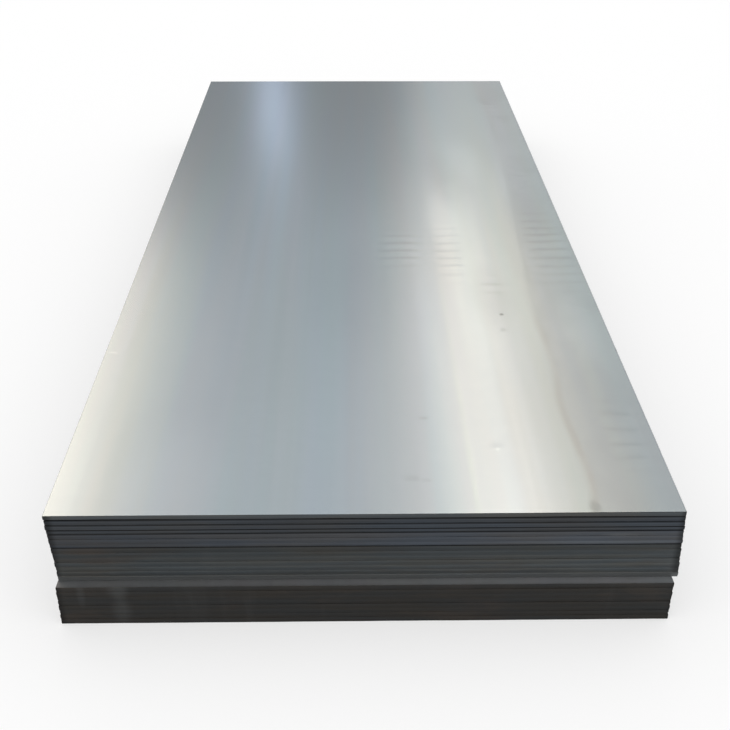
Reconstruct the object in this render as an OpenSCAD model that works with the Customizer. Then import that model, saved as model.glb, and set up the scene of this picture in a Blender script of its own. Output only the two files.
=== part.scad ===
// A stack of sheared steel plates, laid flat in four lifts. The bottom lift is a little narrower and
// stands out in front of the others. Lengths are in millimetres and angles in degrees.
// The origin is at floor level under the middle of the stack. The plates' length lies along Y, and
// the end with the ledge faces -Y.

/* [Plate] */
// Width of a plate, across its rolling direction
plate_width = 1250; // [600:5:2500]
// Length of a plate, along its rolling direction
plate_length = 3000; // [1000:10:6000]
// Thickness of a plate
plate_thickness = 12; // [6:0.5:40]

/* [Sheared edge] */
// Radius to which the blade rolls the top edge over
roll_over = 0.6; // [0.3:0.1:2.5]
// Height of the upright burnished band under the rolled edge
burnish = 4; // [1:0.5:8]
// How far the broken rest of the cut leans in at the bottom face
break_lean = 0.4; // [0.1:0.1:2]

/* [Lifts] */
// Number of plates in the bottom lift
bottom_plates = 8; // [1:1:15]
// Number of plates in the middle lift
middle_plates = 7; // [1:1:15]
// Number of plates in the upper lift
upper_plates = 3; // [1:1:15]
// Number of loose plates on top
loose_plates = 4; // [1:1:15]
// Width of the bottom lift's plates
bottom_width = 1240; // [600:5:2500]

/* [Lie of the lifts] */
// How far the bottom lift stands out in front of the middle lift
ledge = 20; // [0:1:100]
// How far the upper lift overhangs the middle lift in front
upper_overhang = 2; // [0:0.5:50]
// How far the loose plates overhang the upper lift in front
loose_overhang = 1.5; // [0:0.5:50]
// Sideways place of the bottom lift
bottom_side = -3; // [-50:1:50]
// Sideways place of the middle lift's lowest plate
middle_side = 4; // [-50:1:50]

/* [Lie of the plates] */
// How far each plate over the bottom lift lies to the left of the one under it
side_step = 0.6; // [0:0.1:5]
// Most that a plate lies out of line with its lift
stagger = 0.3; // [0:0.1:10]
// Most that a plate is turned out of line, in degrees
skew = 0.01; // [0:0.01:0.3]

/* [Hidden] */
// Top of the burnished band of a cut, and top of the broken part under it
burnish_top = plate_thickness - roll_over;
break_top = burnish_top - burnish;
// A cutting profile runs this far past the plate
run_past = 5;
// Turn from one plate's place out of line to the next one's, which never repeats
scatter_turn = 137.5;
$fn = 48;

// The lifts from the floor up
lift_names = ["bottom", "middle", "upper", "loose"];
lift_counts = [bottom_plates, middle_plates, upper_plates, loose_plates];
lift_widths = [bottom_width, plate_width, plate_width, plate_width];
middle_along = ledge / 2;
upper_along = middle_along - upper_overhang;
lift_alongs = [middle_along - ledge, middle_along, upper_along, upper_along - loose_overhang];
lift_colours = [[0.20, 0.19, 0.18], [0.27, 0.28, 0.29], [0.33, 0.35, 0.38], [0.66, 0.68, 0.69]];

function plate_name(lift, k) = str(lift_names[lift], "_plate_", k);
// Number of plates under a lift
function plates_below(lift) = lift == 0 ? 0 : plates_below(lift - 1) + lift_counts[lift - 1];
// Sideways place of plate n, counted from the floor, before it is put out of line
function plate_side(n) = n <= bottom_plates ? bottom_side : middle_side - side_step * (n - bottom_plates - 1);
// How far plate n, counted from the floor, lies out of line, as a share from -1 to 1
function scatter(n, phase) = sin(scatter_turn * n + phase);

// Section of a plate across two opposite cuts: rolled over at the top, then upright, then broken off
module sheared_section(span) {
    half = span / 2;
    polygon([
        [-half + break_lean, 0], [half - break_lean, 0], [half, break_top],
        [half, burnish_top], [-half, burnish_top], [-half, break_top]
    ]);
    translate([-half + roll_over, break_top])
        square([span - 2 * roll_over, plate_thickness - break_top]);
    for (end = [-1, 1])
        translate([end * (half - roll_over), burnish_top]) circle(roll_over);
}

// One plate, sheared on all four sides, with its bottom face at z = 0
module sheared_plate(width) {
    intersection() {
        rotate([90, 0, 0])
            linear_extrude(plate_length + 2 * run_past, center = true) sheared_section(width);
        rotate([90, 0, 90])
            linear_extrude(width + 2 * run_past, center = true) sheared_section(plate_length);
    }
}

// Plate k of a lift, in its place in the stack
module plate(lift, k) {
    n = plates_below(lift) + k;
    color(lift_colours[lift])
        translate([
            plate_side(n) + stagger * scatter(n, 0),
            lift_alongs[lift] + stagger * scatter(n, 90),
            (n - 1) * plate_thickness
        ])
            rotate(skew * scatter(n, 45)) sheared_plate(lift_widths[lift]);
}

for (lift = [0 : len(lift_names) - 1], k = [1 : lift_counts[lift]])
    plate(lift, k);
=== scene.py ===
"""Dresses a stack of sheared steel plates: plate meshes, rolled and cut finishes, and a plain studio."""
import math
from collections import namedtuple

import bpy
import numpy as np
from bpy.props import FloatProperty, FloatVectorProperty, IntProperty, PointerProperty
from bpy.types import NodeSocket, Operator, Panel, PropertyGroup
from mathutils import Matrix, Vector


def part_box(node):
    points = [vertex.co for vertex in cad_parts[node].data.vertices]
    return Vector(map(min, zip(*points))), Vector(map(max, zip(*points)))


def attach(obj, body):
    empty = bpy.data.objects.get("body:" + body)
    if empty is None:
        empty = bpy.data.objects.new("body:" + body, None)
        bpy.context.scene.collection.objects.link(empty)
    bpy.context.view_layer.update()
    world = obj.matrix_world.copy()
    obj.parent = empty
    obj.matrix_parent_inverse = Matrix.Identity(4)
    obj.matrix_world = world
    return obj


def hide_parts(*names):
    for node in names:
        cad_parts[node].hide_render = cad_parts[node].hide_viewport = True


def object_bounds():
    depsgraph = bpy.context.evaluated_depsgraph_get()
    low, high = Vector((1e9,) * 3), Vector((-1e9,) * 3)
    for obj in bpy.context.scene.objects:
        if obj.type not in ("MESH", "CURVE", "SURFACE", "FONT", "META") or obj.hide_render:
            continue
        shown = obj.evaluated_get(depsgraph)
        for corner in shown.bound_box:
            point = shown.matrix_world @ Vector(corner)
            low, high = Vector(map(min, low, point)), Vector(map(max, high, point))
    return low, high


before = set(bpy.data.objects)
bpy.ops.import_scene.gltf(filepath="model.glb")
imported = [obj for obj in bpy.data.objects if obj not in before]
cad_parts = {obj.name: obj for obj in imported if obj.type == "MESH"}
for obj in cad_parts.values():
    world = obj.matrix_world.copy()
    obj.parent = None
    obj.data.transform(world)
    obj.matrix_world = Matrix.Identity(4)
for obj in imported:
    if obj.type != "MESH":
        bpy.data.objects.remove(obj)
CAD_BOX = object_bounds()

bl_info = {
    "name": "Steel Plate Stack",
    "version": (1, 0, 0),
    "blender": (4, 5, 0),
    "location": "3D View > Sidebar > Plate Stack",
    "description": "Dresses a stack of sheared steel plates and sets a plain studio round it",
    "category": "Object",
}

BODY = "root"
STACK_TOP = CAD_BOX[1].z
FRONT = CAD_BOX[0].y
LEVEL_TOLERANCE = 1e-4
SHARP_ANGLE = math.radians(35)
SENSOR_WIDTH = 36.0


# Settings

class PlateShape(PropertyGroup):
    """Shape of the plates' sheared edges and of the waves in the top plate."""

    roll_over: FloatProperty(
        name="Roll-over", description="Radius of the top edge that the blade rolled over",
        default=0.0006, min=0.0, unit="LENGTH")
    burnish: FloatProperty(
        name="Burnish", description="Height of the upright burnished band under the rolled edge",
        default=0.004, min=0.0, unit="LENGTH")
    break_lean: FloatProperty(
        name="Break lean", description="How far the broken part of the cut leans in at the bottom face",
        default=0.0004, min=0.0, unit="LENGTH")
    break_wander: FloatProperty(
        name="Break wander", description="How far the line between burnish and break rises and falls",
        default=0.0009, min=0.0, unit="LENGTH")
    cut_wander: FloatProperty(
        name="Cut wander", description="How far a cut strays from a straight line",
        default=0.00012, min=0.0, unit="LENGTH")
    tear: FloatProperty(
        name="Tear", description="Depth of the roughness of the broken part of the cut",
        default=0.00015, min=0.0, unit="LENGTH")
    pressed_gap: FloatProperty(
        name="Pressed gap", description="Most that two plates of a lift stand apart at their edges",
        default=0.0002, min=0.0, unit="LENGTH")
    loose_gap: FloatProperty(
        name="Loose gap", description="Most that a loose plate's edge stands off the plate below it",
        default=0.003, min=0.0, unit="LENGTH")
    nick: FloatProperty(
        name="Nick", description="Depth of the deepest nicks in a top edge",
        default=0.0012, min=0.0, unit="LENGTH")
    nick_count: IntProperty(
        name="Nicks", description="Number of nicks round a plate", default=9, min=0)
    rim: FloatProperty(
        name="Rim", description="Width of the strip inside a plate's edge that is not quite flat",
        default=0.03, min=0.0, unit="LENGTH")
    wave: FloatProperty(
        name="Wave", description="Height of the long waves in the top plate",
        default=0.0002, min=0.0, unit="LENGTH")
    ripple: FloatProperty(
        name="Ripple", description="Depth of the cross breaks in the top plate",
        default=0.00004, min=0.0, unit="LENGTH")
    ripple_pitch: FloatProperty(
        name="Ripple pitch", description="Distance from one ripple of a cross break to the next",
        default=0.055, min=0.001, unit="LENGTH")
    across_count: IntProperty(
        name="Points across", description="Mesh steps across a plate's width", default=150, min=4)
    along_count: IntProperty(
        name="Points along", description="Mesh steps along a plate's length", default=200, min=4)
    top_along_count: IntProperty(
        name="Points along the top", description="Mesh steps along the top plate's length",
        default=480, min=4)


class SteelFinish(PropertyGroup):
    """Colours of the rolled faces and of each lift's cut edges."""

    face: FloatVectorProperty(
        name="Rolled face", description="Colour of the bright rolled face", subtype="COLOR",
        default=(0.316, 0.371, 0.407), min=0.0, max=1.0)
    face_roughness: FloatProperty(
        name="Face roughness", description="Roughness of the bright rolled face", subtype="FACTOR",
        default=0.258, min=0.0, max=1.0)
    face_graze: FloatProperty(
        name="Face at a graze", description="How bright a rolled face stays at a grazing view",
        subtype="FACTOR", default=0.77, min=0.0, max=1.0)
    dusty_face: FloatVectorProperty(
        name="Dusty face", description="Colour of a rolled face that has lain in the stack", subtype="COLOR",
        default=(0.146, 0.154, 0.163), min=0.0, max=1.0)
    bottom_edge: FloatVectorProperty(
        name="Bottom edges", description="Colour of the bottom lift's cut edges", subtype="COLOR",
        default=(0.0268, 0.0265, 0.0255), min=0.0, max=1.0)
    middle_edge: FloatVectorProperty(
        name="Middle edges", description="Colour of the middle lift's cut edges", subtype="COLOR",
        default=(0.064, 0.0715, 0.0745), min=0.0, max=1.0)
    upper_edge: FloatVectorProperty(
        name="Upper edges", description="Colour of the upper lift's cut edges", subtype="COLOR",
        default=(0.060, 0.067, 0.078), min=0.0, max=1.0)
    loose_edge: FloatVectorProperty(
        name="Loose edges", description="Colour of the loose plates' cut edges", subtype="COLOR",
        default=(0.050, 0.057, 0.066), min=0.0, max=1.0)
    top_edge: FloatVectorProperty(
        name="Top edges", description="Colour of the top plate's cut edges", subtype="COLOR",
        default=(0.073, 0.079, 0.082), min=0.0, max=1.0)
    rust: FloatVectorProperty(
        name="Rust", description="Colour of the brown stains on the cut edges", subtype="COLOR",
        default=(0.062, 0.047, 0.036), min=0.0, max=1.0)
    dust: FloatVectorProperty(
        name="Dust", description="Colour of the pale dust on the cut edges", subtype="COLOR",
        default=(0.134, 0.143, 0.147), min=0.0, max=1.0)


class Studio(PropertyGroup):
    """Camera, floor and light."""

    camera_place: FloatVectorProperty(
        name="Camera place", description="Where the camera stands", subtype="TRANSLATION",
        default=(-0.0315, -3.153, 1.5725))
    camera_pitch: FloatProperty(
        name="Camera pitch", description="How far the camera looks down", subtype="ANGLE",
        default=math.radians(30.40))
    camera_yaw: FloatProperty(
        name="Camera yaw", description="How far the camera looks to the right", subtype="ANGLE",
        default=math.radians(0.887))
    camera_roll: FloatProperty(
        name="Camera roll", description="How far the camera leans to its left", subtype="ANGLE",
        default=math.radians(0.158))
    camera_lens: FloatProperty(
        name="Camera lens", description="Focal length in millimetres on a 36 mm sensor", default=53.29)
    floor_colour: FloatVectorProperty(
        name="Floor", description="Colour of the floor", subtype="COLOR", default=(0.5, 0.5, 0.5))
    floor_lift: FloatProperty(
        name="Floor lift", description="What is added to the floor where it shows, up to white",
        default=0.5, min=0.0)
    sky_light: FloatProperty(
        name="Sky light", description="Strength of the white surroundings as light", default=1.0, min=0.0)
    strip_height: FloatProperty(
        name="Strip height", description="Height of the two long lamps over the stack's top",
        default=6.0, min=0.1, unit="LENGTH")
    right_strip: FloatProperty(
        name="Right strip", description="Brightness of the long lamp on the right", default=3.86, min=0.0)
    left_strip: FloatProperty(
        name="Left strip", description="Brightness of the long lamp on the left", default=3.43, min=0.0)
    far_lamp: FloatProperty(
        name="Far lamp", description="Brightness of the small lamp behind the stack", default=5.53, min=0.0)
    card_glow: FloatProperty(
        name="Card glow", description="Brightness of the grey card behind the stack", default=0.487, min=0.0)


class PlateStackSettings(PropertyGroup):
    """Everything that a user would change."""

    shape: PointerProperty(type=PlateShape)
    finish: PointerProperty(type=SteelFinish)
    studio: PointerProperty(type=Studio)


# Plate meshes

PlatePlace = namedtuple("PlatePlace", "centre turn width length bottom thickness")
CrossBreak = namedtuple("CrossBreak", "x y half_width half_length strength")

# Cross breaks of the top plate: half lie along its right edge, and three side by side near its middle
CROSS_BREAKS = (
    CrossBreak(0.12, -0.27, 0.055, 0.12, 1.0),
    CrossBreak(0.258, -0.28, 0.034, 0.18, 1.0),
    CrossBreak(0.555, -0.25, 0.060, 0.26, 1.0),
    CrossBreak(0.355, -0.50, 0.030, 0.06, 0.8),
    CrossBreak(0.54, 1.10, 0.045, 0.15, 0.6),
    CrossBreak(0.56, 0.27, 0.040, 0.20, 0.3),
    CrossBreak(0.11, 0.19, 0.025, 0.12, 0.2),
    CrossBreak(0.56, -1.24, 0.035, 0.13, 0.9),
)


def lift_nodes(lift):
    """Names of a lift's plates, from the floor up."""
    names = [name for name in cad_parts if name.startswith(lift + "_plate_")]
    return sorted(names, key=lambda name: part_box(name)[0].z)


def plate_place(node):
    """Where the frame holds a plate: the middle of its plan, its turn and its sizes."""
    points = np.array([vertex.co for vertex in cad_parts[node].data.vertices])

    def corner(to_right, to_back):
        return points[np.argmax(points[:, 0] * to_right + points[:, 1] * to_back)]

    near_left, near_right, far_left, far_right = corner(-1, -1), corner(1, -1), corner(-1, 1), corner(1, 1)
    across = near_right - near_left
    along = far_right - near_right
    centre = (near_left + near_right + far_left + far_right) / 4
    bottom, top = points[:, 2].min(), points[:, 2].max()
    return PlatePlace(
        centre[:2], math.atan2(-along[0], along[1]), math.hypot(across[0], across[1]),
        math.hypot(along[0], along[1]), bottom, top - bottom)


def waver(distance, around, wavelengths, rng):
    """A smooth random course round a closed line, mostly between -1 and 1."""
    course = np.zeros_like(distance)
    for wavelength in wavelengths:
        turns = max(1, round(around / wavelength))
        course += np.sin(2 * np.pi * turns * distance / around + rng.uniform(0, 2 * np.pi))
    return course / math.sqrt(2 * len(wavelengths))


def outline(across_count, along_count):
    """A unit square's outline, counter-clockwise from its near left corner."""
    across = np.linspace(-1, 1, across_count + 1)[:-1]
    along = np.linspace(-1, 1, along_count + 1)[:-1]
    near = np.stack([across, np.full_like(across, -1)], 1)
    right = np.stack([np.full_like(along, 1), along], 1)
    return np.concatenate([near, right, -near, -right])


def edge_rings(distance, around, thickness, shape, most_gap, rng):
    """Inset and height of each ring round a plate, from inside its underside up to inside its top."""
    wander = shape.cut_wander * waver(distance, around, (1.3, 0.7, 0.3), rng)
    lean = shape.break_lean * (1 + 0.5 * waver(distance, around, (0.5, 0.21, 0.09), rng))
    gap = most_gap * (0.75 + 0.25 * waver(distance, around, (1.9, 0.8, 0.45), rng)).clip(0, 1)
    break_top = thickness - shape.roll_over - shape.burnish
    break_top = break_top + shape.break_wander * waver(distance, around, (0.6, 0.25, 0.08, 0.03), rng)

    nick = np.zeros_like(distance)
    for _ in range(shape.nick_count):
        place, half_width = rng.uniform(0, around), rng.uniform(0.004, 0.012)
        depth = shape.nick * rng.uniform(0.2, 1) ** 2
        nick = np.maximum(nick, depth * np.exp(-((distance - place) / half_width) ** 2))

    def torn():
        return shape.tear * rng.normal(size=distance.shape)

    rings = [(np.full_like(distance, shape.rim), np.zeros_like(distance)), (wander + lean, gap)]
    for share in (0.35, 0.7):
        rings.append((wander + lean * (1 - share) + torn(), gap + (break_top - gap) * share))
    rings.append((wander, break_top))
    roll_bottom = thickness - shape.roll_over
    rings.append((wander + 0.3 * nick, np.full_like(distance, roll_bottom)))
    for angle in np.radians((30, 60, 90)):
        inset = wander + shape.roll_over * (1 - math.cos(angle)) + nick
        rings.append((inset, roll_bottom + shape.roll_over * math.sin(angle) - 0.4 * nick))
    rings.append((inset + 0.5 * shape.roll_over, np.full_like(distance, thickness)))
    rings.append((inset + shape.roll_over, np.full_like(distance, thickness)))
    rings.append((np.full_like(distance, shape.rim), np.full_like(distance, thickness)))
    return rings


# The rings of edge_rings at which the cut and the top face start
LOWEST_EDGE_RING, LOWEST_TOP_RING = 1, 8


def cap_strips(first, across_count, along_count):
    """Faces that close a ring with strips from side to side, seen counter-clockwise from above."""
    count = 2 * (across_count + along_count)
    left = [first + (count - j) % count for j in range(along_count + 1)]
    right = [first + across_count + j for j in range(along_count + 1)]
    near = [first + i for i in range(across_count + 1)]
    far = [first + across_count + along_count + i for i in range(across_count + 1)]
    strips = [near + [right[1], left[1]]]
    strips += [[left[j], right[j], right[j + 1], left[j + 1]] for j in range(1, along_count - 1)]
    return strips + [[left[-2], right[-2]] + far]


def cap_grid(first, first_inner, across_count, along_count):
    """Faces that close a ring with a full grid, whose inner points start at first_inner."""
    count = 2 * (across_count + along_count)
    grid = np.zeros((along_count + 1, across_count + 1), int)
    grid[0] = first + np.arange(across_count + 1)
    grid[:, -1] = first + across_count + np.arange(along_count + 1)
    grid[-1] = (first + across_count + along_count + np.arange(across_count + 1))[::-1]
    grid[:, 0] = first + (count - np.arange(along_count + 1)) % count
    inner = np.arange((along_count - 1) * (across_count - 1))
    grid[1:-1, 1:-1] = first_inner + inner.reshape(along_count - 1, across_count - 1)
    corners = (grid[:-1, :-1], grid[:-1, 1:], grid[1:, 1:], grid[1:, :-1])
    return np.stack([corner.ravel() for corner in corners], 1).tolist()


def cross_break_share(x, y):
    """How strongly the plate is broken across its rolling direction at each point, from 0 to 1."""
    share = np.zeros_like(x)
    for patch in CROSS_BREAKS:
        off_x, off_y = (x - patch.x) / patch.half_width, (y - patch.y) / patch.half_length
        share = np.maximum(share, patch.strength * np.exp(-off_x ** 4 - off_y ** 4))
    return share


def waves(x, y, rng):
    """Long shallow waves of a plate that is not quite flat, mostly between -1 and 1."""
    height = np.zeros_like(x)
    for wavelength in (1.9, 1.1, 0.7, 0.45):
        heading = rng.uniform(0, np.pi)
        run = x * math.cos(heading) + y * math.sin(heading)
        height += wavelength * np.sin(2 * np.pi * run / wavelength + rng.uniform(0, 2 * np.pi))
    return height / 2


def build_plate(node, shape, most_gap, materials, covered=True, top_plate=False):
    """Makes the mesh of one plate in place of its plain solid and sets it on the stack.

    The materials are for its faces and its cuts. A covered plate has the cuts' one round its faces' rim too.
    """
    place = plate_place(node)
    rng = np.random.default_rng(round(place.bottom / place.thickness))
    across_count = shape.across_count
    along_count = shape.top_along_count if top_plate else shape.along_count
    unit = outline(across_count, along_count)
    half = np.array([place.width, place.length]) / 2
    steps = np.linalg.norm(np.diff(unit * half, axis=0, append=unit[:1] * half), axis=1)
    distance = np.concatenate([[0], np.cumsum(steps)[:-1]])
    around = steps.sum()

    rings = edge_rings(distance, around, place.thickness, shape, most_gap, rng)
    points = [np.column_stack([unit * (half - inset[:, None]), height]) for inset, height in rings]
    count = len(unit)
    last_ring = len(rings) - 1
    if top_plate:
        inner = half - shape.rim
        xs = np.linspace(-inner[0], inner[0], across_count + 1)[1:-1]
        ys = np.linspace(-inner[1], inner[1], along_count + 1)[1:-1]
        grid_x, grid_y = np.meshgrid(xs, ys)
        grid_z = np.full_like(grid_x, place.thickness)
        points.append(np.stack([grid_x.ravel(), grid_y.ravel(), grid_z.ravel()], 1))
    points = np.concatenate(points)

    faces = [face[::-1] for face in cap_strips(0, across_count, along_count)]
    cut = [False] * len(faces)
    step_on = np.roll(np.arange(count), -1)
    cut_end = last_ring if covered else LOWEST_TOP_RING
    for k in range(last_ring):
        low, high = k * count, (k + 1) * count
        columns = (low + np.arange(count), low + step_on, high + step_on, high + np.arange(count))
        faces += np.stack(columns, 1).tolist()
        cut += [LOWEST_EDGE_RING <= k < cut_end] * count
    if top_plate:
        faces += cap_grid(last_ring * count, len(rings) * count, across_count, along_count)
        x, y = points[:, 0], points[:, 1]
        broken = cross_break_share(x, y)
        rolled = points[:, 2] > place.thickness - shape.roll_over
        ripple = broken * np.sin(2 * np.pi * y / shape.ripple_pitch)
        points[:, 2] += rolled * (shape.wave * waves(x, y, rng) + shape.ripple * ripple)
    else:
        faces += cap_strips(last_ring * count, across_count, along_count)
    cut += [False] * (len(faces) - len(cut))

    turned = Matrix.Rotation(place.turn, 3, "Z")
    points = points @ np.array(turned).T + np.array([*place.centre, place.bottom])
    mesh = bpy.data.meshes.new(node)
    mesh.from_pydata(points.tolist(), [], faces)
    for material in materials:
        mesh.materials.append(material)
    mesh.polygons.foreach_set("material_index", np.array(cut, dtype=np.int32))
    if top_plate:
        layer = mesh.attributes.new("cross_break", "FLOAT", "POINT")
        layer.data.foreach_set("value", broken.astype(np.float32))
    mesh.shade_smooth()
    mesh.set_sharp_from_angle(angle=SHARP_ANGLE)
    mesh.update()

    plate = bpy.data.objects.new(node + "_finished", mesh)
    bpy.context.scene.collection.objects.link(plate)
    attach(plate, BODY)
    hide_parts(node)
    return plate


# Shader helpers

def add(tree, kind, settings=None, **inputs):
    """Adds a node. An input is a socket to link or a value; its name has _ for a space."""
    node = tree.nodes.new(kind)
    for key, value in (settings or {}).items():
        setattr(node, key, value)
    for key, value in inputs.items():
        connect(tree, node.inputs[key.replace("_", " ")], value)
    return node


def connect(tree, socket, value):
    """Links a socket to another, or sets its value."""
    if isinstance(value, NodeSocket):
        tree.links.new(value, socket)
    else:
        socket.default_value = value


def maths(tree, operation, first, second=0.5, third=0.5):
    """A Math node's result."""
    node = tree.nodes.new("ShaderNodeMath")
    node.operation = operation
    for socket, value in zip(node.inputs, (first, second, third)):
        connect(tree, socket, value)
    return node.outputs[0]


def mixed(tree, share, first, second, blend="MIX"):
    """A mix of two colours."""
    node = tree.nodes.new("ShaderNodeMix")
    node.data_type = "RGBA"
    node.blend_type = blend
    for index, value in ((0, share), (6, first), (7, second)):
        connect(tree, node.inputs[index], value)
    return node.outputs[2]


def ramp(tree, value, low, high, to_low=0.0, to_high=1.0):
    """A value taken smoothly from one range to another."""
    node = add(tree, "ShaderNodeMapRange", {"interpolation_type": "SMOOTHSTEP"},
               Value=value, From_Min=low, From_Max=high, To_Min=to_low, To_Max=to_high)
    return node.outputs["Result"]


def product(tree, *values):
    """Several values multiplied together."""
    result = values[0]
    for value in values[1:]:
        result = maths(tree, "MULTIPLY", result, value)
    return result


def stirred(tree, value, noise, amount):
    """A value with noise about 0.5 added to it, by an amount."""
    return maths(tree, "MULTIPLY_ADD", maths(tree, "SUBTRACT", noise, 0.5), amount, value)


def rgba(colour):
    """A colour with full alpha."""
    return (*colour, 1.0)


def tinted(tree, share, colour, tint):
    """A colour multiplied by a tint, by a share."""
    return mixed(tree, share, colour, rgba(tint), "MULTIPLY")


def toned(tree, share, colour, change):
    """A colour made brighter or darker by a change, by a share."""
    return dimmed(tree, colour, maths(tree, "MULTIPLY_ADD", share, change, 1.0))


def course(tree, along, places):
    """How far across a line lies at each place along it, through the places it is known at, nearest first."""
    nearest, farthest = places[0][1], places[-1][1]
    share = maths(tree, "DIVIDE", maths(tree, "SUBTRACT", along, nearest), farthest - nearest)
    node = add(tree, "ShaderNodeFloatCurve", Value=share)
    points = node.mapping.curves[0].points
    while len(points) < len(places):
        points.new(0.5, 0.5)
    for point, (across, distance) in zip(points, places):
        point.location = ((distance - nearest) / (farthest - nearest), across)
    node.mapping.update()
    return node.outputs[0]


def vector_maths(tree, operation, first, second):
    """A Vector Math node's vector."""
    node = tree.nodes.new("ShaderNodeVectorMath")
    node.operation = operation
    connect(tree, node.inputs[0], first)
    connect(tree, node.inputs[1], second)
    return node.outputs[0]


def scaled(tree, vector, factors):
    """A vector with each part multiplied by its own factor."""
    return vector_maths(tree, "MULTIPLY", vector, factors)


def dimmed(tree, colour, factor):
    """A colour multiplied by a value."""
    node = add(tree, "ShaderNodeVectorMath", {"operation": "SCALE"}, Vector=colour, Scale=factor)
    return node.outputs[0]


def grain(tree, vector, detail=2.0, roughness=0.5, distortion=0.0):
    """Noise at the scale of the vector, about 0.5."""
    node = add(tree, "ShaderNodeTexNoise", Vector=vector, Scale=1.0, Detail=detail, Roughness=roughness,
               Distortion=distortion)
    return node.outputs[0]


def spot(tree, where, centre, halves):
    """1 in the middle of an oval mark, falling to 0 at its rim."""
    off = vector_maths(tree, "SUBTRACT", where, centre)
    off = scaled(tree, off, [1 / half for half in halves])
    node = add(tree, "ShaderNodeVectorMath", {"operation": "LENGTH"}, Vector=off)
    return ramp(tree, node.outputs["Value"], 1.0, 0.2)


def object_place(tree):
    """The place on the object, in metres."""
    return tree.nodes.new("ShaderNodeTexCoord").outputs["Object"]


def parted(tree, vector):
    """A vector's X, Y and Z."""
    return add(tree, "ShaderNodeSeparateXYZ", Vector=vector).outputs


def rightward(tree, where, share):
    """Painted side light: a tone that rises from the stack's left side to its right, by the share on either
    side of 1.
    """
    side = ramp(tree, parted(tree, where)["X"], CAD_BOX[0].x, CAD_BOX[1].x, -1.0, 1.0)
    return maths(tree, "MULTIPLY_ADD", side, share, 1.0)


def new_group(name, inputs, outputs):
    """An empty node group with its sockets, and its input and output nodes."""
    tree = bpy.data.node_groups.new(name, "ShaderNodeTree")
    for kind, socket_name in inputs:
        tree.interface.new_socket(socket_name, in_out="INPUT", socket_type=kind)
    for kind, socket_name in outputs:
        tree.interface.new_socket(socket_name, in_out="OUTPUT", socket_type=kind)
    return tree, tree.nodes.new("NodeGroupInput").outputs, tree.nodes.new("NodeGroupOutput").inputs


def place_group(tree, group, **inputs):
    """Places a node group in a material and returns its outputs."""
    return add(tree, "ShaderNodeGroup", {"node_tree": group}, **inputs).outputs


def new_material(name):
    """An empty material and its Principled shader."""
    material = bpy.data.materials.new(name)
    material.use_nodes = True
    return material, material.node_tree, material.node_tree.nodes["Principled BSDF"]


def set_steel(tree, shader, colour, roughness, metallic, height, bump_strength, bump_distance):
    """Gives a Principled shader a steel's colour, roughness, metal and fine relief."""
    shader.inputs["Metallic"].default_value = metallic
    connect(tree, shader.inputs["Base Color"], colour)
    connect(tree, shader.inputs["Roughness"], roughness)
    bump = add(tree, "ShaderNodeBump", Strength=bump_strength, Distance=bump_distance, Height=height)
    connect(tree, shader.inputs["Normal"], bump.outputs["Normal"])


# Finishes of the steel

COLOUR, VALUE = "NodeSocketColor", "NodeSocketFloat"


def rolled_face_group():
    """Rolled steel: streaks and faint tints along the rolling direction, broad clouds, and painted side light
    rising to the right.
    """
    if "Rolled face" in bpy.data.node_groups:
        return bpy.data.node_groups["Rolled face"]
    tree, given, put = new_group(
        "Rolled face",
        [(COLOUR, "Steel"), (VALUE, "Roughness"), (VALUE, "Streaks"), (VALUE, "Rightward")],
        [(COLOUR, "Color"), (VALUE, "Roughness"), (VALUE, "Height")])
    where = object_place(tree)
    broad = grain(tree, scaled(tree, where, (5.0, 0.9, 1.0)), 2.0)
    streak = grain(tree, scaled(tree, where, (38.0, 0.5, 1.0)), 3.0, 0.55)
    brush = grain(tree, scaled(tree, where, (18.0, 70.0, 1.0)), 2.0)
    tint = grain(tree, scaled(tree, where, (13.0, 0.4, 1.0)), 2.0)
    green = grain(tree, scaled(tree, where, (11.0, 0.5, 5.0)), 2.0)

    change = maths(tree, "MULTIPLY_ADD", streak, 0.5, maths(tree, "MULTIPLY_ADD", broad, 0.5, -0.5))
    change = stirred(tree, change, brush, 0.2)
    shade = maths(tree, "MULTIPLY_ADD", change, given["Streaks"], 1.0)
    # Painted side light: brighter towards the stack's right side
    shade = maths(tree, "MULTIPLY", shade, rightward(tree, where, given["Rightward"]))
    cool = tinted(tree, 1.0, given["Steel"], (0.984, 1.0, 1.016))
    warm = tinted(tree, 1.0, given["Steel"], (1.016, 1.0, 0.984))
    colour = mixed(tree, ramp(tree, tint, 0.3, 0.7), cool, warm)
    greener = tinted(tree, 1.0, colour, (0.988, 1.009, 0.997))
    pinker = tinted(tree, 1.0, colour, (1.012, 0.991, 1.003))
    colour = mixed(tree, ramp(tree, green, 0.3, 0.7), pinker, greener)
    connect(tree, put["Color"], dimmed(tree, colour, shade))
    connect(tree, put["Roughness"], maths(tree, "MULTIPLY_ADD", change, -0.03, given["Roughness"]))
    connect(tree, put["Height"], maths(tree, "MULTIPLY_ADD", brush, 0.3, streak))
    return tree


# How far in from its front the ledge is worn, and where the painted shade under the middle lift starts and
# ends
LEDGE_WORN, LEDGE_SHADE_START, LEDGE_SHADE_END = 0.007, 0.010, 0.021


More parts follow.
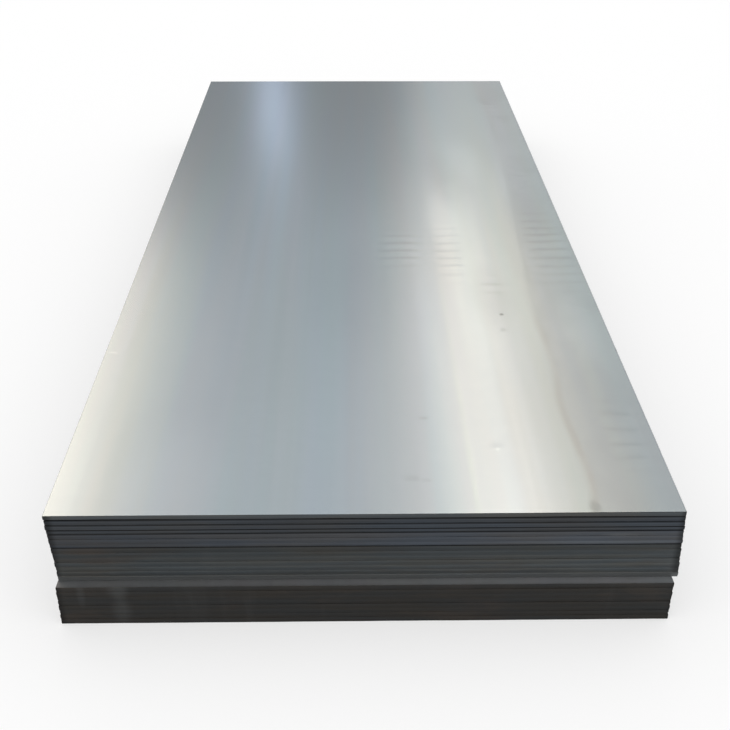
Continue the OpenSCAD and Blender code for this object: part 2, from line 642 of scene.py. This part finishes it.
def dusty_face_material(finish):
    """The faces of plates that lie inside the stack, which show on the ledge only, with painted shade at the
    ledge's back.
    """
    material, tree, shader = new_material("dusty_rolled_face")
    # The face's tone rises to the right as painted side light
    face = place_group(tree, rolled_face_group(), Steel=rgba(finish.dusty_face), Roughness=0.6, Streaks=0.5,
                       Rightward=0.2)
    where = object_place(tree)
    patch = grain(tree, scaled(tree, where, (14.0, 30.0, 1.0)), 3.0)
    pale = ramp(tree, patch, 0.52, 0.72, 0.0, 0.5)
    colour = mixed(tree, pale, face["Color"], rgba(finish.dust))
    along = parted(tree, where)["Y"]
    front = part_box(lift_nodes("bottom")[-1])[0].y
    # Painted shade at the back of the ledge, where the middle lift stands on it
    painted_shade = ramp(tree, along, front + LEDGE_SHADE_START, front + LEDGE_SHADE_END, 1.0, 0.85)
    worn = ramp(tree, along, front, front + LEDGE_WORN, 0.7, 1.0)
    colour = dimmed(tree, colour, product(tree, painted_shade, worn))
    set_steel(tree, shader, colour, face["Roughness"], metallic=0.3, height=face["Height"],
              bump_strength=0.05, bump_distance=0.0005)
    return material


Mark = namedtuple("Mark", "x y half_x half_y tone")

# Broad soft patches on the top face, then its small smudges and specks and a nick
MARKS = (
    Mark(0.255, -0.02, 0.07, 0.30, 1.11),
    Mark(0.310, 0.25, 0.10, 0.26, 0.95),
    Mark(0.345, -0.56, 0.09, 0.26, 0.93),
    Mark(0.290, 0.42, 0.12, 0.24, 0.95),
    Mark(0.370, 0.50, 0.09, 0.30, 1.06),
    Mark(0.215, -0.55, 0.06, 0.50, 0.95),
    Mark(0.340, -1.25, 0.11, 0.50, 0.97),
    Mark(0.260, -1.10, 0.10, 0.50, 0.96),
    Mark(0.525, 0.00, 0.09, 0.40, 0.92),
    Mark(0.540, -0.72, 0.08, 0.25, 1.09),
    Mark(0.550, 1.32, 0.10, 0.25, 0.94),
    Mark(0.520, 1.22, 0.04, 0.08, 0.95),
    Mark(0.575, 0.98, 0.05, 0.08, 0.95),
    Mark(0.000, -0.55, 0.20, 0.45, 0.94),
    Mark(-0.120, -1.35, 0.30, 0.50, 1.04),
    Mark(-0.400, -1.42, 0.16, 0.35, 1.07),
    Mark(-0.620, -1.45, 0.12, 0.40, 1.07),
    Mark(0.446, -1.477, 0.018, 0.032, 0.80),
    Mark(0.362, -0.666, 0.008, 0.010, 0.55),
    Mark(0.356, -0.750, 0.014, 0.016, 0.90),
    Mark(0.278, -1.262, 0.024, 0.020, 0.95),
    Mark(0.279, -1.277, 0.007, 0.007, 1.12),
    Mark(0.128, -1.156, 0.016, 0.010, 0.90),
    Mark(0.092, -1.378, 0.024, 0.016, 0.93),
    Mark(0.123, -1.385, 0.016, 0.012, 0.95),
    Mark(-0.610, -0.857, 0.018, 0.005, 1.12),
)

# Points across and along the top face on the left side of its dull right strip, the nearest first
STRIP_SIDE = (
    (0.446, -1.466), (0.455, -1.40), (0.448, -1.255), (0.441, -1.092), (0.453, -0.966),
    (0.453, -0.80), (0.446, -0.66), (0.465, -0.233), (0.480, 0.047), (0.50, 0.60),
)

# How far across the top face a faint lengthwise seam lies
SEAM_ACROSS = 0.216


def top_face_material(finish, shape):
    """The bright upper face of the stack: a dull strip along its right edge with a painted light band beside
    it, cross breaks with painted shade and highlights, and small marks.
    """
    material, tree, shader = new_material("top_rolled_face")
    face = place_group(tree, rolled_face_group(), Steel=rgba(finish.face),
                       Roughness=finish.face_roughness, Streaks=0.14)
    where = object_place(tree)
    split = parted(tree, where)
    colour = face["Color"]
    near = ramp(tree, split["Y"], -0.30, -0.65)
    nearest = ramp(tree, split["Y"], -0.80, -1.20)
    uneven = ramp(tree, grain(tree, scaled(tree, where, (8.0, 5.0, 1.0)), 2.0), 0.3, 0.7, 0.4, 1.0)

    strip_side = course(tree, split["Y"], STRIP_SIDE)
    past = maths(tree, "SUBTRACT", split["X"], strip_side)
    strip = ramp(tree, past, -0.008, 0.014)
    # Painted reflection: a light band along the left side of the dull strip
    glow = product(tree, ramp(tree, past, -0.090, -0.008), ramp(tree, past, 0.010, -0.006),
                   ramp(tree, split["Y"], -1.10, -0.75), ramp(tree, split["Y"], 0.60, 0.15))
    colour = toned(tree, glow, colour, 0.07)
    colour = toned(tree, product(tree, strip, nearest), colour, -0.05)
    warmth = product(tree, ramp(tree, past, -0.170, 0.0), ramp(tree, past, 0.080, 0.140, 1.0, 0.7),
                     ramp(tree, split["Y"], 0.30, -0.20, 0.5, 1.0))
    colour = tinted(tree, warmth, colour, (1.05, 1.0, 0.93))
    coolness = product(tree, ramp(tree, split["X"], 0.07, 0.14), ramp(tree, split["X"], 0.36, 0.26), near)
    colour = tinted(tree, coolness, colour, (0.995, 1.005, 1.03))
    line = product(tree, ramp(tree, maths(tree, "ABSOLUTE", past), 0.016, 0.0), uneven,
                   ramp(tree, split["Y"], -0.62, -0.80))
    colour = tinted(tree, line, colour, (0.93, 0.90, 0.88))
    blotch = grain(tree, scaled(tree, where, (11.0, 6.0, 1.0)), 2.0)
    blotch = product(tree, ramp(tree, blotch, 0.40, 0.75), strip)
    colour = toned(tree, blotch, colour, -0.05)

    seam = maths(tree, "ABSOLUTE", maths(tree, "SUBTRACT", split["X"], SEAM_ACROSS))
    seam = product(tree, ramp(tree, seam, 0.010, 0.0), near, uneven)
    colour = tinted(tree, seam, colour, (1.02, 1.03, 0.99))
    for mark in MARKS:
        share = spot(tree, where, (mark.x, mark.y, STACK_TOP), (mark.half_x, mark.half_y, 1.0))
        colour = toned(tree, share, colour, mark.tone - 1)

    broken = tree.nodes.new("ShaderNodeAttribute")
    broken.attribute_name = "cross_break"
    sway = grain(tree, scaled(tree, where, (6.0, 5.0, 1.0)), 2.0)
    along = stirred(tree, split["Y"], sway, 0.05)
    beat = maths(tree, "SINE", maths(tree, "MULTIPLY", along, 2 * math.pi / shape.ripple_pitch))
    fold_and_painted_shade = product(tree, ramp(tree, beat, 0.45, 0.95), broken.outputs["Fac"], uneven)
    painted_hump_highlight = product(tree, ramp(tree, beat, 0.2, -0.6), broken.outputs["Fac"], uneven)
    # The cross breaks' folds get painted shade, and their humps a painted highlight
    colour = toned(tree, fold_and_painted_shade, colour, -0.10)
    colour = toned(tree, painted_hump_highlight, colour, 0.04)

    shader.inputs["Specular Tint"].default_value = rgba([finish.face_graze] * 3)
    set_steel(tree, shader, colour, face["Roughness"], metallic=1.0, height=fold_and_painted_shade,
              bump_strength=0.3, bump_distance=0.0002)
    return material


def sheared_edge_group():
    """A cut edge: burnished above, broken below, painted shade lines at its foot and top, painted side light,
    streaks, stains and dust.
    """
    if "Sheared edge" in bpy.data.node_groups:
        return bpy.data.node_groups["Sheared edge"]
    tree, given, put = new_group(
        "Sheared edge",
        [(COLOUR, "Steel"), (COLOUR, "Rust"), (COLOUR, "Dust"), (VALUE, "Rust Amount"),
         (VALUE, "Dust Amount"), (VALUE, "Line"), (VALUE, "Line Height"), (VALUE, "Upper Line"),
         (VALUE, "Contrast"), (VALUE, "Rightward"), (VALUE, "Pitch")],
        [(COLOUR, "Color"), (VALUE, "Roughness"), (VALUE, "Height")])
    where = object_place(tree)
    split = parted(tree, where)
    level = maths(tree, "DIVIDE", split["Z"], given["Pitch"])
    number = maths(tree, "FLOOR", level)
    inside = maths(tree, "FRACT", level)
    own = add(tree, "ShaderNodeTexWhiteNoise", {"noise_dimensions": "1D"}, W=number).outputs["Value"]

    per_plate = add(tree, "ShaderNodeCombineXYZ", X=maths(tree, "MULTIPLY", split["X"], 5.0),
                    Y=maths(tree, "MULTIPLY", split["Y"], 5.0), Z=maths(tree, "MULTIPLY", number, 7.3))
    drift = grain(tree, per_plate.outputs[0], 4.0, 0.55)
    lines = grain(tree, scaled(tree, where, (4.0, 4.0, 190.0)), 3.0, 0.6)
    scratch = grain(tree, scaled(tree, where, (330.0, 330.0, 25.0)), 3.0, 0.6)
    tear = grain(tree, scaled(tree, where, (240.0, 240.0, 420.0)), 3.0, 0.6)
    burnished = ramp(tree, inside, 0.48, 0.66)
    # Painted shade: dark lines at the foot and the top of each plate, where plates meet
    lower_end = maths(tree, "MULTIPLY", given["Line Height"], 0.3)
    lower_line = ramp(tree, inside, given["Line Height"], lower_end)
    upper_end = maths(tree, "ADD", given["Upper Line"], 0.09)
    upper_line = ramp(tree, inside, given["Upper Line"], upper_end)
    dark_lines = maths(tree, "MAXIMUM", lower_line, upper_line)

    change = stirred(tree, maths(tree, "MULTIPLY_ADD", own, 0.4, -0.2), drift, 1.3)
    change = stirred(tree, change, lines, 2.0)
    change = stirred(tree, change, scratch, 0.4)
    change = maths(tree, "MULTIPLY_ADD", burnished, 0.2, maths(tree, "SUBTRACT", change, 0.1))
    tone = maths(tree, "MULTIPLY_ADD", change, given["Contrast"], 1.0)
    side, end = CAD_BOX[1].x, CAD_BOX[1].y
    near_side = ramp(tree, maths(tree, "ABSOLUTE", split["X"]), side - 0.022, side - 0.006)
    near_end = ramp(tree, maths(tree, "ABSOLUTE", split["Y"]), end - 0.040, end - 0.025)
    corner = maths(tree, "MULTIPLY_ADD", product(tree, near_side, near_end), -0.6, 1.0)
    # Painted side light makes the tone brighter towards the stack's right
    tone = product(tree, tone, corner, rightward(tree, where, given["Rightward"]))
    tint = grain(tree, scaled(tree, where, (4.0, 4.0, 45.0)), 3.0)
    cool = tinted(tree, 1.0, given["Steel"], (0.94, 1.0, 1.06))
    warm = tinted(tree, 1.0, given["Steel"], (1.06, 1.0, 0.93))
    colour = mixed(tree, ramp(tree, tint, 0.35, 0.65), cool, warm)

    rust_cloud = grain(tree, scaled(tree, where, (5.0, 5.0, 18.0)), 4.0, 0.65)
    rusty = maths(tree, "MULTIPLY", ramp(tree, rust_cloud, 0.48, 0.72), given["Rust Amount"])
    colour = dimmed(tree, mixed(tree, rusty, colour, given["Rust"]), tone)
    dust_run = grain(tree, scaled(tree, where, (11.0, 11.0, 1.2)), 4.0, 0.6, 0.4)
    dusty = maths(tree, "MULTIPLY", ramp(tree, dust_run, 0.56, 0.78), given["Dust Amount"])
    colour = mixed(tree, dusty, colour, given["Dust"])
    shadow = product(tree, dark_lines, given["Line"], maths(tree, "MULTIPLY_ADD", drift, 0.6, 0.7))
    colour = dimmed(tree, colour, maths(tree, "SUBTRACT", 1.0, shadow))
    connect(tree, put["Color"], colour)
    rough = maths(tree, "MULTIPLY_ADD", burnished, -0.10, 0.58)
    connect(tree, put["Roughness"], maths(tree, "MULTIPLY_ADD", scratch, 0.1, rough))
    broken = maths(tree, "SUBTRACT", 1.0, burnished)
    scored = maths(tree, "MULTIPLY", scratch, 0.5)
    connect(tree, put["Height"], maths(tree, "MULTIPLY_ADD", tear, broken, scored))
    return tree


EdgeLook = namedtuple(
    "EdgeLook", "line line_height upper_line contrast rightward rust dust", defaults=(0.05, 0.05))
Stain = namedtuple("Stain", "x z half_x half_z share")
PaintedShade = namedtuple("PaintedShade", "depth share")

# Looks of each lift's cut edges, of its lowest plate's where that stands off the one below, and of the top's;
# their lines are painted shade where plates meet
# In each look, the share that rises to the right is painted side light
EDGE_LOOKS = {
    "bottom": EdgeLook(line=0.02, line_height=0.2, upper_line=0.9, contrast=0.12, rightward=0.0,
                       rust=0.3, dust=0.1),
    "middle": EdgeLook(line=0.06, line_height=0.2, upper_line=0.9, contrast=0.25, rightward=0.12,
                       rust=0.3, dust=0.08),
    "upper": EdgeLook(line=0.06, line_height=0.2, upper_line=0.9, contrast=0.2, rightward=0.2),
    "upper_foot": EdgeLook(line=0.9, line_height=0.5, upper_line=1.0, contrast=0.2, rightward=0.3),
    "loose": EdgeLook(line=0.6, line_height=0.1, upper_line=0.77, contrast=0.25, rightward=0.05),
    "loose_foot": EdgeLook(line=0.8, line_height=0.5, upper_line=0.8, contrast=0.25, rightward=0.05),
    "top": EdgeLook(line=0.75, line_height=0.28, upper_line=0.9, contrast=0.2, rightward=0.0),
}

# Painted shade at the top of a lift, under what stands out over it: how far down it reaches, and how dark it
# is
PAINTED_SHADE = {"upper": PaintedShade(0.003, 0.5), "middle": PaintedShade(0.045, 0.35)}

# How far up the middle lift the painted light from the ledge reaches
LEDGE_LIGHT_HEIGHT = 0.018

# Pale runs of dust on the bottom lift, painted sheen on the upper lift, and brown stains, on the front of the
# stack
PALE_DUST_AND_PAINTED_SHEEN = {
    "bottom": (Stain(-0.500, 0.088, 0.030, 0.030, 0.2), Stain(-0.497, 0.035, 0.028, 0.045, 0.16),
               Stain(-0.575, 0.080, 0.012, 0.050, 0.12)),
    # Painted sheen: pale bands on the upper lift's right side, in the dust colour
    "upper": (Stain(0.50, 0.207, 0.05, 0.006, 0.3),),
    "upper_foot": (Stain(0.48, 0.188, 0.24, 0.006, 0.3),),
}
BROWN_STAINS = {
    "middle": (Stain(-0.56, 0.173, 0.08, 0.016, 0.5), Stain(-0.54, 0.148, 0.09, 0.014, 0.35)),
}


def sheared_edge_material(kind, colour, finish, pitch):
    """The cut edges of a lift's plates, or of those that stand off the one below them."""
    material, tree, shader = new_material(kind + "_cut_edge")
    look = EDGE_LOOKS[kind]
    edge = place_group(tree, sheared_edge_group(), Steel=rgba(colour), Rust=rgba(finish.rust),
                       Dust=rgba(finish.dust), Rust_Amount=look.rust, Dust_Amount=look.dust, Line=look.line,
                       Line_Height=look.line_height, Upper_Line=look.upper_line, Contrast=look.contrast,
                       Rightward=look.rightward, Pitch=pitch)
    where = object_place(tree)
    height = parted(tree, where)["Z"]
    colour = edge["Color"]
    if kind in PAINTED_SHADE:
        # Painted shade at the lift's top, under what stands out over it
        lift_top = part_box(lift_nodes(kind)[-1])[1].z
        painted_shade = ramp(tree, height, lift_top - PAINTED_SHADE[kind].depth, lift_top, 1.0, 1 - PAINTED_SHADE[kind].share)
        colour = dimmed(tree, colour, painted_shade)
    # Real dust runs and the painted sheen both take the dust colour; brown stains take the rust colour
    for stains, stain_colour in ((PALE_DUST_AND_PAINTED_SHEEN, finish.dust), (BROWN_STAINS, finish.rust)):
        for stain in stains.get(kind, ()):
            share = spot(tree, where, (stain.x, FRONT, stain.z), (stain.half_x, 1.0, stain.half_z))
            colour = mixed(tree, maths(tree, "MULTIPLY", share, stain.share), colour, rgba(stain_colour))
    if kind == "middle":
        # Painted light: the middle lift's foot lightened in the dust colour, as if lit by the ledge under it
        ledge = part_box(lift_nodes("middle")[0])[0].z
        painted_ledge_light = ramp(tree, height, ledge + LEDGE_LIGHT_HEIGHT, ledge)
        colour = mixed(tree, painted_ledge_light, colour, rgba(finish.dust))
    set_steel(tree, shader, colour, edge["Roughness"], metallic=0.75, height=edge["Height"],
              bump_strength=0.3, bump_distance=0.0003)
    return material


# Operators

# How far a lift's other loose plates stand off those below them, as a share of the lowest one's gap
UPPER_LOOSE_SHARE = 0.3


def build_lift(context, lift, colour, loose=0):
    """Makes every plate of a lift but the stack's top one.

    Its lowest plates, as many as loose says, stand off those below them.
    """
    settings = context.scene.plate_stack
    shape, finish = settings.shape, settings.finish
    nodes = lift_nodes(lift)
    if not nodes:
        raise RuntimeError("the frame has no plates in the lift named " + lift)
    face = bpy.data.materials.get("dusty_rolled_face") or dusty_face_material(finish)
    pitch = plate_place(nodes[0]).thickness
    edge = sheared_edge_material(lift, colour, finish, pitch)
    foot_edge = sheared_edge_material(lift + "_foot", colour, finish, pitch) if loose else edge
    for k, node in enumerate(nodes):
        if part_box(node)[1].z < STACK_TOP - LEVEL_TOLERANCE:
            gap = shape.pressed_gap
            if k < loose:
                gap = shape.loose_gap * (1.0 if k == 0 else UPPER_LOOSE_SHARE)
            on_ledge = lift == "bottom" and node == nodes[-1]
            build_plate(node, shape, gap, (face, foot_edge if k == 0 else edge), covered=not on_ledge)


class PLATESTACK_OT_bottom_lift(Operator):
    """Make the narrow, dark bottom lift that stands out in front as a ledge"""

    bl_idname = "plate_stack.bottom_lift"
    bl_label = "Bottom Lift"

    def execute(self, context):
        build_lift(context, "bottom", context.scene.plate_stack.finish.bottom_edge)
        return {"FINISHED"}


class PLATESTACK_OT_middle_lift(Operator):
    """Make the middle lift, with stained cut edges"""

    bl_idname = "plate_stack.middle_lift"
    bl_label = "Middle Lift"

    def execute(self, context):
        build_lift(context, "middle", context.scene.plate_stack.finish.middle_edge)
        return {"FINISHED"}


class PLATESTACK_OT_upper_lift(Operator):
    """Make the upper lift, with bluish cut edges"""

    bl_idname = "plate_stack.upper_lift"
    bl_label = "Upper Lift"

    def execute(self, context):
        build_lift(context, "upper", context.scene.plate_stack.finish.upper_edge, loose=1)
        return {"FINISHED"}


class PLATESTACK_OT_loose_plates(Operator):
    """Make the loose plates, with the bright top plate on them"""

    bl_idname = "plate_stack.loose_plates"
    bl_label = "Loose Plates"

    def execute(self, context):
        shape, finish = context.scene.plate_stack.shape, context.scene.plate_stack.finish
        nodes = lift_nodes("loose")
        build_lift(context, "loose", finish.loose_edge, loose=len(nodes))
        top_node = nodes[-1]
        edge = sheared_edge_material("top", finish.top_edge, finish, plate_place(top_node).thickness)
        face = top_face_material(finish, shape)
        build_plate(top_node, shape, shape.loose_gap, (face, edge), covered=False, top_plate=True)
        return {"FINISHED"}


# Stage

Lamp = namedtuple("Lamp", "name across along size colour")

# Two long lamps over the stack, and a small one that stands behind it
RIGHT_STRIP = Lamp("right_strip", across=1.656, along=2.78, size=(0.816, 23.56), colour=(1.0, 0.781, 0.569))
LEFT_STRIP = Lamp("left_strip", across=-4.635, along=2.6, size=(3.0, 23.2), colour=(1.0, 0.728, 0.501))
FAR_LAMP = Lamp("far_lamp", across=-0.884, along=8.9, size=(0.198, 0.918), colour=(0.725, 0.802, 1.0))
FAR_LAMP_HEIGHT = 2.807
DOWN, NEARWARD = (0, 0, -1), (0, -1, 0)


def seen_rays(tree):
    """1 for the rays of the camera, of reflections and through glass, and 0 for those that only light."""
    path = tree.nodes.new("ShaderNodeLightPath").outputs
    seen = maths(tree, "MAXIMUM", path["Is Camera Ray"], path["Is Glossy Ray"])
    return maths(tree, "MAXIMUM", seen, path["Is Transmission Ray"])


def add_area_light(lamp, height, aim, brightness):
    """An area lamp of a given brightness, whatever its size, which shows only in the steel."""
    light = bpy.data.lights.new(lamp.name, "AREA")
    light.shape = "RECTANGLE"
    light.size, light.size_y = lamp.size
    light.energy = math.pi * brightness * lamp.size[0] * lamp.size[1]
    light.color = lamp.colour
    holder = bpy.data.objects.new(lamp.name, light)
    holder.location = (lamp.across, lamp.along, height)
    holder.rotation_euler = Vector(aim).to_track_quat("-Z", "Y").to_euler()
    holder.visible_camera = False
    holder.visible_diffuse = False
    bpy.context.scene.collection.objects.link(holder)


def add_stage_sheet(name, corners, material):
    """A flat sheet that is part of the studio."""
    mesh = bpy.data.meshes.new(name)
    mesh.from_pydata(corners, [], [range(len(corners))])
    mesh.materials.append(material)
    sheet = bpy.data.objects.new(name, mesh)
    bpy.context.scene.collection.objects.link(sheet)
    return sheet


def set_camera(studio):
    """Stands the camera at the photograph's viewing angle."""
    pitch, yaw, roll = studio.camera_pitch, studio.camera_yaw, studio.camera_roll
    forward = Vector((math.sin(yaw) * math.cos(pitch), math.cos(yaw) * math.cos(pitch), -math.sin(pitch)))
    right = Vector((math.cos(yaw), -math.sin(yaw), 0))
    up = right.cross(forward)
    leaning_right = right * math.cos(roll) + up * math.sin(roll)
    leaning_up = up * math.cos(roll) - right * math.sin(roll)
    data = bpy.data.cameras.new("camera")
    data.lens = studio.camera_lens
    data.sensor_width = SENSOR_WIDTH
    camera = bpy.data.objects.new("camera", data)
    turn = Matrix((leaning_right, leaning_up, -forward)).transposed().to_4x4()
    camera.matrix_world = Matrix.Translation(studio.camera_place) @ turn
    bpy.context.scene.collection.objects.link(camera)
    bpy.context.scene.camera = camera


def set_world(studio):
    """White surroundings, with their own strength as light."""
    world = bpy.data.worlds.new("white_surroundings")
    world.use_nodes = True
    tree = world.node_tree
    background = tree.nodes["Background"]
    background.inputs["Color"].default_value = (1, 1, 1, 1)
    strength = ramp(tree, seen_rays(tree), 0.0, 1.0, studio.sky_light, 1.0)
    connect(tree, background.inputs["Strength"], strength)
    bpy.context.scene.world = world


def set_floor(studio):
    """A pale floor that shows white and keeps the stack's shadow."""
    material, tree, shader = new_material("pale_floor")
    shader.inputs["Base Color"].default_value = rgba(studio.floor_colour)
    shader.inputs["Roughness"].default_value = 1.0
    shader.inputs["Specular IOR Level"].default_value = 0.0
    shader.inputs["Emission Color"].default_value = (1, 1, 1, 1)
    lift = maths(tree, "MULTIPLY", seen_rays(tree), studio.floor_lift)
    connect(tree, shader.inputs["Emission Strength"], lift)
    reach = 40.0
    corners = [(-reach, -reach, 0), (reach, -reach, 0), (reach, reach, 0), (-reach, reach, 0)]
    add_stage_sheet("floor", corners, material)


def set_card(studio):
    """A grey card far behind the stack and to its left, which shows only in the steel."""
    material, _, shader = new_material("grey_card")
    shader.inputs["Base Color"].default_value = (0, 0, 0, 1)
    shader.inputs["Specular IOR Level"].default_value = 0.0
    shader.inputs["Emission Color"].default_value = (1, 1, 1, 1)
    shader.inputs["Emission Strength"].default_value = studio.card_glow
    left, right, far, top = -9.0, 0.666, 9.0, 3.99
    corners = [(left, far, 0), (right, far, 0), (right, far, top), (left, far, top)]
    card = add_stage_sheet("grey_card", corners, material)
    card.visible_camera = False
    card.visible_diffuse = False
    card.visible_shadow = False


class PLATESTACK_OT_stage(Operator):
    """Set the camera, the pale floor and the soft light"""

    bl_idname = "plate_stack.stage"
    bl_label = "Stage"

    def execute(self, context):
        studio = context.scene.plate_stack.studio
        context.scene.view_settings.view_transform = "Standard"
        set_camera(studio)
        set_world(studio)
        set_floor(studio)
        set_card(studio)
        over_stack = STACK_TOP + studio.strip_height
        add_area_light(RIGHT_STRIP, over_stack, DOWN, studio.right_strip)
        add_area_light(LEFT_STRIP, over_stack, DOWN, studio.left_strip)
        add_area_light(FAR_LAMP, FAR_LAMP_HEIGHT, NEARWARD, studio.far_lamp)
        return {"FINISHED"}


class PLATESTACK_PT_panel(Panel):
    """Lists the operators and their settings"""

    bl_label = "Plate Stack"
    bl_idname = "PLATESTACK_PT_panel"
    bl_space_type = "VIEW_3D"
    bl_region_type = "UI"
    bl_category = "Plate Stack"

    def draw(self, context):
        for operator in OPERATORS:
            self.layout.operator(operator.bl_idname)
        settings = context.scene.plate_stack
        for group in (settings.shape, settings.finish, settings.studio):
            box = self.layout.box()
            for name in group.bl_rna.properties.keys():
                if name not in ("rna_type", "name"):
                    box.prop(group, name)


OPERATORS = (
    PLATESTACK_OT_bottom_lift,
    PLATESTACK_OT_middle_lift,
    PLATESTACK_OT_upper_lift,
    PLATESTACK_OT_loose_plates,
    PLATESTACK_OT_stage,
)
CLASSES = (PlateShape, SteelFinish, Studio, PlateStackSettings, *OPERATORS, PLATESTACK_PT_panel)


def register():
    """Registers the classes and gives scenes their settings."""
    for cls in CLASSES:
        bpy.utils.register_class(cls)
    bpy.types.Scene.plate_stack = PointerProperty(type=PlateStackSettings)


def unregister():
    """Takes the settings and the classes away again."""
    del bpy.types.Scene.plate_stack
    for cls in reversed(CLASSES):
        bpy.utils.unregister_class(cls)


def main():
    """Registers the add-on and builds every piece."""
    register()
    bpy.ops.plate_stack.bottom_lift()
    bpy.ops.plate_stack.middle_lift()
    bpy.ops.plate_stack.upper_lift()
    bpy.ops.plate_stack.loose_plates()
    bpy.ops.plate_stack.stage()


if __name__ == "__main__":
    main()
